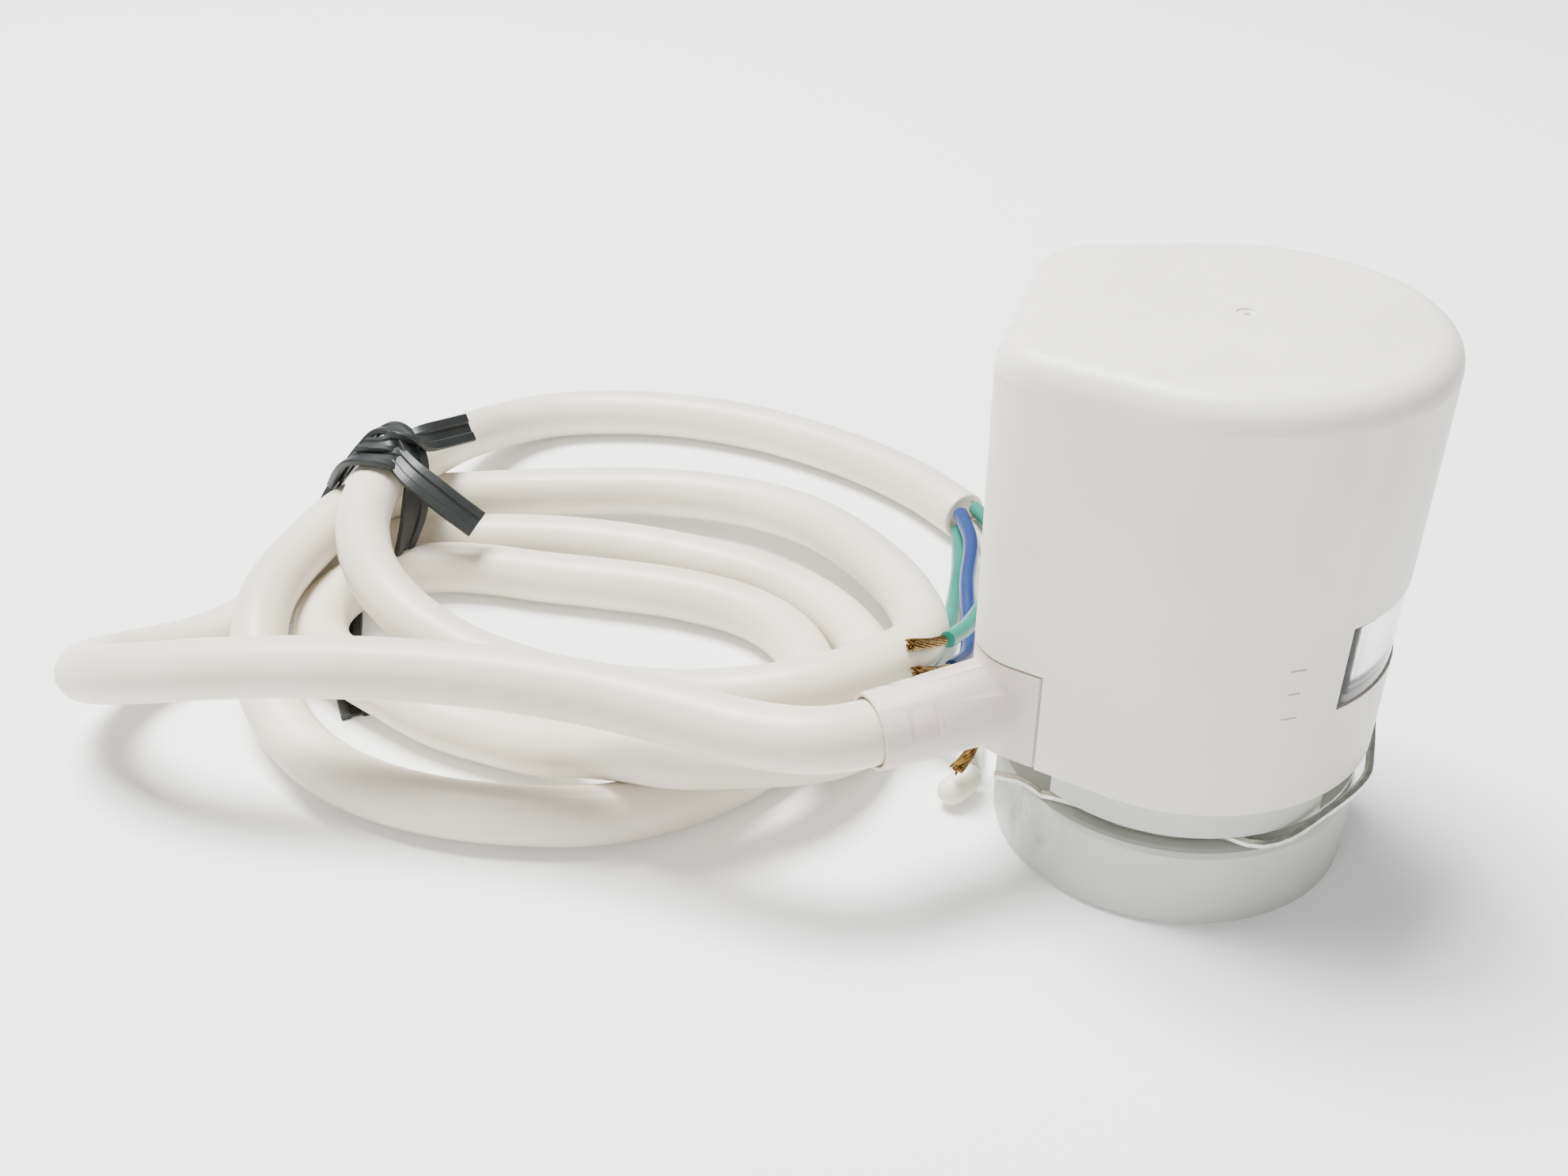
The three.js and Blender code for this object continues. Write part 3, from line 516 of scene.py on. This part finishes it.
def rounded_sleeve():
    """The insulating sleeve pushed over the end of the white core, closed in a dome."""
    line = smooth_line(WHITE_END_SLEEVE, pitch=0.2)
    total = length_of(line)
    radius = SLEEVE * MM / 2
    scales = []
    done = 0
    for before, place in zip([line[0]] + line, line):
        done += (place - before).length
        left = total - done
        dome = math.sqrt(max(0.0, 1 - (1 - left / radius) ** 2)) if left < radius else 1
        rim = RIM_SHARE + (1 - RIM_SHARE) * min(1, done / (RIM_LENGTH * MM))
        scales.append(max(DOME_TIP_SHARE, dome * rim))
    bm = bmesh.new()
    sweep(bm, line, circle(radius, SLEEVE_FACETS), sides_of(line), scales)
    return make_object("core_white_cap", bm, degrees=60)


jacket_line = smooth_line(JACKET_ROUTE, pitch=1.5)
end_before = jacket_line[-1] - (jacket_line[-1] - jacket_line[-2]).normalized() * CUT_END * MM
jacket = tube("cable_jacket", jacket_line[:-2] + [end_before], CABLE, sides=8)
finish_piece(jacket, "cable", "cable_front_run", "cable_coil", "cable_tail")
jacket_end = cut_end(jacket_line)
finish_piece(jacket_end, "cable")

for core_name, core in CORES.items():
    core_line = smooth_line(core["route"], pitch=0.8)
    insulation = tube(f"core_{core_name}_wire", core_line, CORE, sides=5)
    finish_piece(insulation, core["slot"], f"core_{core_name}")
    if core_name == "white":
        tip = rounded_sleeve()
        finish_piece(tip, "core_white", "core_white_sleeve")
    else:
        tip = stranded_end(f"core_{core_name}_copper", core["end"])
        finish_piece(tip, "copper", f"core_{core_name}_strands")

# ---------------------------------------------------------------- tie

TIE_WIDTH = 4.0
TIE_THICKNESS = 0.9

# The tie's section in half widths and half thicknesses: from one edge over the upper face, which has a
# groove, to the other edge, and back over the lower face, which has one too.
TIE_SECTION = [
    (-1, -0.6), (-1, 0.6), (-0.93, 1), (-0.42, 1), (-0.3, 0.35), (0.3, 0.35), (0.42, 1), (0.93, 1),
    (1, 0.6), (1, -0.6), (0.93, -1), (0.42, -1), (0.3, -0.35), (-0.3, -0.35), (-0.42, -1), (-0.93, -1),
]

# Strips of the tie in millimetres: the line of each, the direction of its width and the width's share at
# each of its ends.
TIE_STRIPS = [
    # the strap: up the outside, over in an arch and down the inside
    {
        "line": [(-118.2, 18.6, 1.2), (-120.6, 19.4, 4), (-120.5, 20.6, 8), (-119.4, 22.6, 11.4),
                 (-117, 24.6, 14.8), (-114.2, 25.4, 18.2), (-111.8, 26, 20.4), (-109.7, 25.9, 20.7),
                 (-107.6, 25.2, 19.8), (-105.9, 23.7, 17.9), (-105.1, 21.8, 15), (-105, 19.6, 11.6),
                 (-105.6, 17.2, 8), (-106.6, 15.6, 5)],
        "across": [(0.1, 1, 0), (0, 1, 0.1), (0.2, 1, 0), (0.1, 1, -0.2), (0.5, 1, -0.2), (0.35, 1, 0)],
        "width": [0.7, 1, 1, 0.95, 1, 1, 0.5],
    },
    # the second wrap, low over the top pass
    {
        "line": [(-118, 21.8, 13.4), (-115.9, 21, 16.2), (-113.4, 20.2, 18.6), (-110.6, 20, 19.4),
                 (-107.9, 20.8, 19), (-106.2, 22, 17.4)],
        "across": [(0.2, 1, 0), (0.1, 1, 0), (0.1, 1, 0)],
        "width": [0.7, 1, 1.1, 0.9],
    },
    # the twist, and the loose end that points back
    {
        "line": [(-113, 22.4, 19.6), (-110.4, 22.2, 20), (-108.4, 23.4, 20), (-106.9, 26, 19.3),
                 (-105.3, 29.6, 18.6), (-103, 34.4, 17.8)],
        "across": [(0, 1, 0), (0.7, 0.7, 0.2), (0.5, -0.3, -0.8), (0.5, -0.3, -0.8)],
        "width": [0.8, 0.8, 1, 1, 1],
    },
    # the loose end that points away from the coil
    {
        "line": [(-112.2, 24.6, 19), (-109.6, 23.4, 19.2), (-106.8, 21.2, 18.6), (-104.3, 19.8, 17.6),
                 (-101.6, 19.6, 15.8), (-98.6, 19.8, 13.4), (-95.8, 20.2, 11.1)],
        "across": [(0.6, 0.8, 0), (0.2, 1, 0.3), (0.1, 0.8, 0.6), (0.1, 0.8, 0.6)],
        "width": [0.7, 0.8, 1, 1, 1],
    },
    # the strip under the bundle
    {
        "line": [(-114.6, 14.4, 0.5), (-111.4, 9.2, 0.5), (-107.2, 1.4, 0.5), (-102.2, -6.2, 0.5),
                 (-98.6, -11, 0.5)],
        "across": [(1, 0.4, 0), (1, 0.6, 0), (1, 0.7, 0)],
        "width": [1, 1, 1],
    },
]


def between(values, share):
    """The value a share of the way along a list."""
    at = share * (len(values) - 1)
    low = min(int(at), len(values) - 2)
    return values[low] + (values[low + 1] - values[low]) * (at - low)


def strip(bm, points, across, widths):
    """A flat strip with a shallow groove along the middle of both faces."""
    line = smooth_line(points, pitch=0.4)
    directions = [Vector(direction).normalized() for direction in across]
    thick = TIE_THICKNESS * MM / 2
    rings = []
    for i, (place, tangent) in enumerate(zip(line, tangents_of(line))):
        share = i / (len(line) - 1)
        side = between(directions, share)
        side = (side - tangent * side.dot(tangent)).normalized()
        up = tangent.cross(side)
        half = between(widths, share) * TIE_WIDTH * MM / 2
        rings.append([bm.verts.new(place + side * half * u + up * thick * v) for u, v in TIE_SECTION])
    skin(bm, rings)


def make_tie():
    """All the strips of the tie as one piece."""
    bm = bmesh.new()
    for one in TIE_STRIPS:
        strip(bm, one["line"], one["across"], one["width"])
    return make_object("cable_tie_strap", bm, degrees=32)


tie = make_tie()
finish_piece(tie, "tie", "cable_tie")

# ---------------------------------------------------------------- CAD pieces

# Corners closer than the weld, in metres, become one, and faces that turn less than the flat angle, in
# degrees, are joined.
WELD = 0.000002
FLAT_ANGLE = 0.4

# Pieces that show get a finer copy, with shared corners, smooth rounds and crisp edges: slot and body.
REFINED = {
    "housing_shell": ("housing", "head"),
    "window_lens": ("lens", "head"),
    "base_collar": ("base", "head"),
    "adapter_ring": ("base", "ring"),
    "strain_relief": ("relief", "head"),
    "indicator_flag": ("flag", "drive"),
    "plunger": ("inner_plastic", "drive"),
    "lifting_yoke": ("inner_plastic", "drive"),
    "inner_frame": ("inner_plastic", "head"),
    "return_spring": ("spring_steel", "head"),
}


def refined(node):
    """A copy of a CAD piece with its corners shared, so that its rounds shade smoothly."""
    bm = bmesh.new()
    bm.from_mesh(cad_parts[node].data)
    bmesh.ops.remove_doubles(bm, verts=bm.verts, dist=WELD)
    bmesh.ops.dissolve_limit(bm, angle_limit=math.radians(FLAT_ANGLE), verts=bm.verts, edges=bm.edges)
    return make_object(f"{node}_finished", bm, degrees=28)


for node_name, (slot_name, body_name) in REFINED.items():
    piece = refined(node_name)
    finish_piece(piece, slot_name, node_name, body=body_name)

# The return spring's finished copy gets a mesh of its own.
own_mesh(bpy.data.objects["return_spring_finished"])

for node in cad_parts.values():
    for material_slot in node.material_slots:
        slot_name = material_slot.material.name.split(".")[0] if material_slot.material else None
        if slot_name in LOOKS:
            material_slot.material = LOOKS[slot_name]

# ---------------------------------------------------------------- stage

FLOOR_SIZE = 4.0
FLOOR_GLOW = 0.2
FLOOR_LIGHT = (0.92, 0.92, 0.92, 1)
FLOOR_DARK = (0.9, 0.9, 0.9, 1)
WHITE = (1, 1, 1, 1)


def make_floor():
    """A plain pale floor."""
    look = Look("floor_white", Roughness=0.9, Specular_IOR_Level=0.1, Emission_Strength=FLOOR_GLOW)
    look.shader.inputs["Emission Color"].default_value = WHITE
    look.colour(look.ramp(look.noise(3, 2), (0.3, FLOOR_DARK), (0.7, FLOOR_LIGHT)))
    half = FLOOR_SIZE / 2
    mesh = bpy.data.meshes.new("floor")
    corners = [(-half, -half, 0), (half, -half, 0), (half, half, 0), (-half, half, 0)]
    mesh.from_pydata(corners, [], [(0, 1, 2, 3)])
    mesh.materials.append(look.material)
    floor = bpy.data.objects.new("floor", mesh)
    bpy.context.scene.collection.objects.link(floor)


def make_light(name, place, aim, size, power):
    """A large square soft light."""
    data = bpy.data.lights.new(name, "AREA")
    data.size = size
    data.energy = power
    light = bpy.data.objects.new(name, data)
    light.location = place
    light.rotation_euler = (Vector(aim) - Vector(place)).to_track_quat("-Z", "Y").to_euler()
    bpy.context.scene.collection.objects.link(light)


def make_sky(strength):
    """An even white surround."""
    world = bpy.data.worlds.new("surround")
    world.use_nodes = True
    background = world.node_tree.nodes["Background"]
    background.inputs["Color"].default_value = WHITE
    background.inputs["Strength"].default_value = strength
    bpy.context.scene.world = world


make_floor()
make_sky(strength=0.3)
make_light("key", place=(-0.3, 0.12, 0.85), aim=(-0.05, 0.02, 0.02), size=0.4, power=30)
make_light("front", place=(-0.25, -0.75, 0.4), aim=(-0.03, 0.01, 0.02), size=0.3, power=1.6)
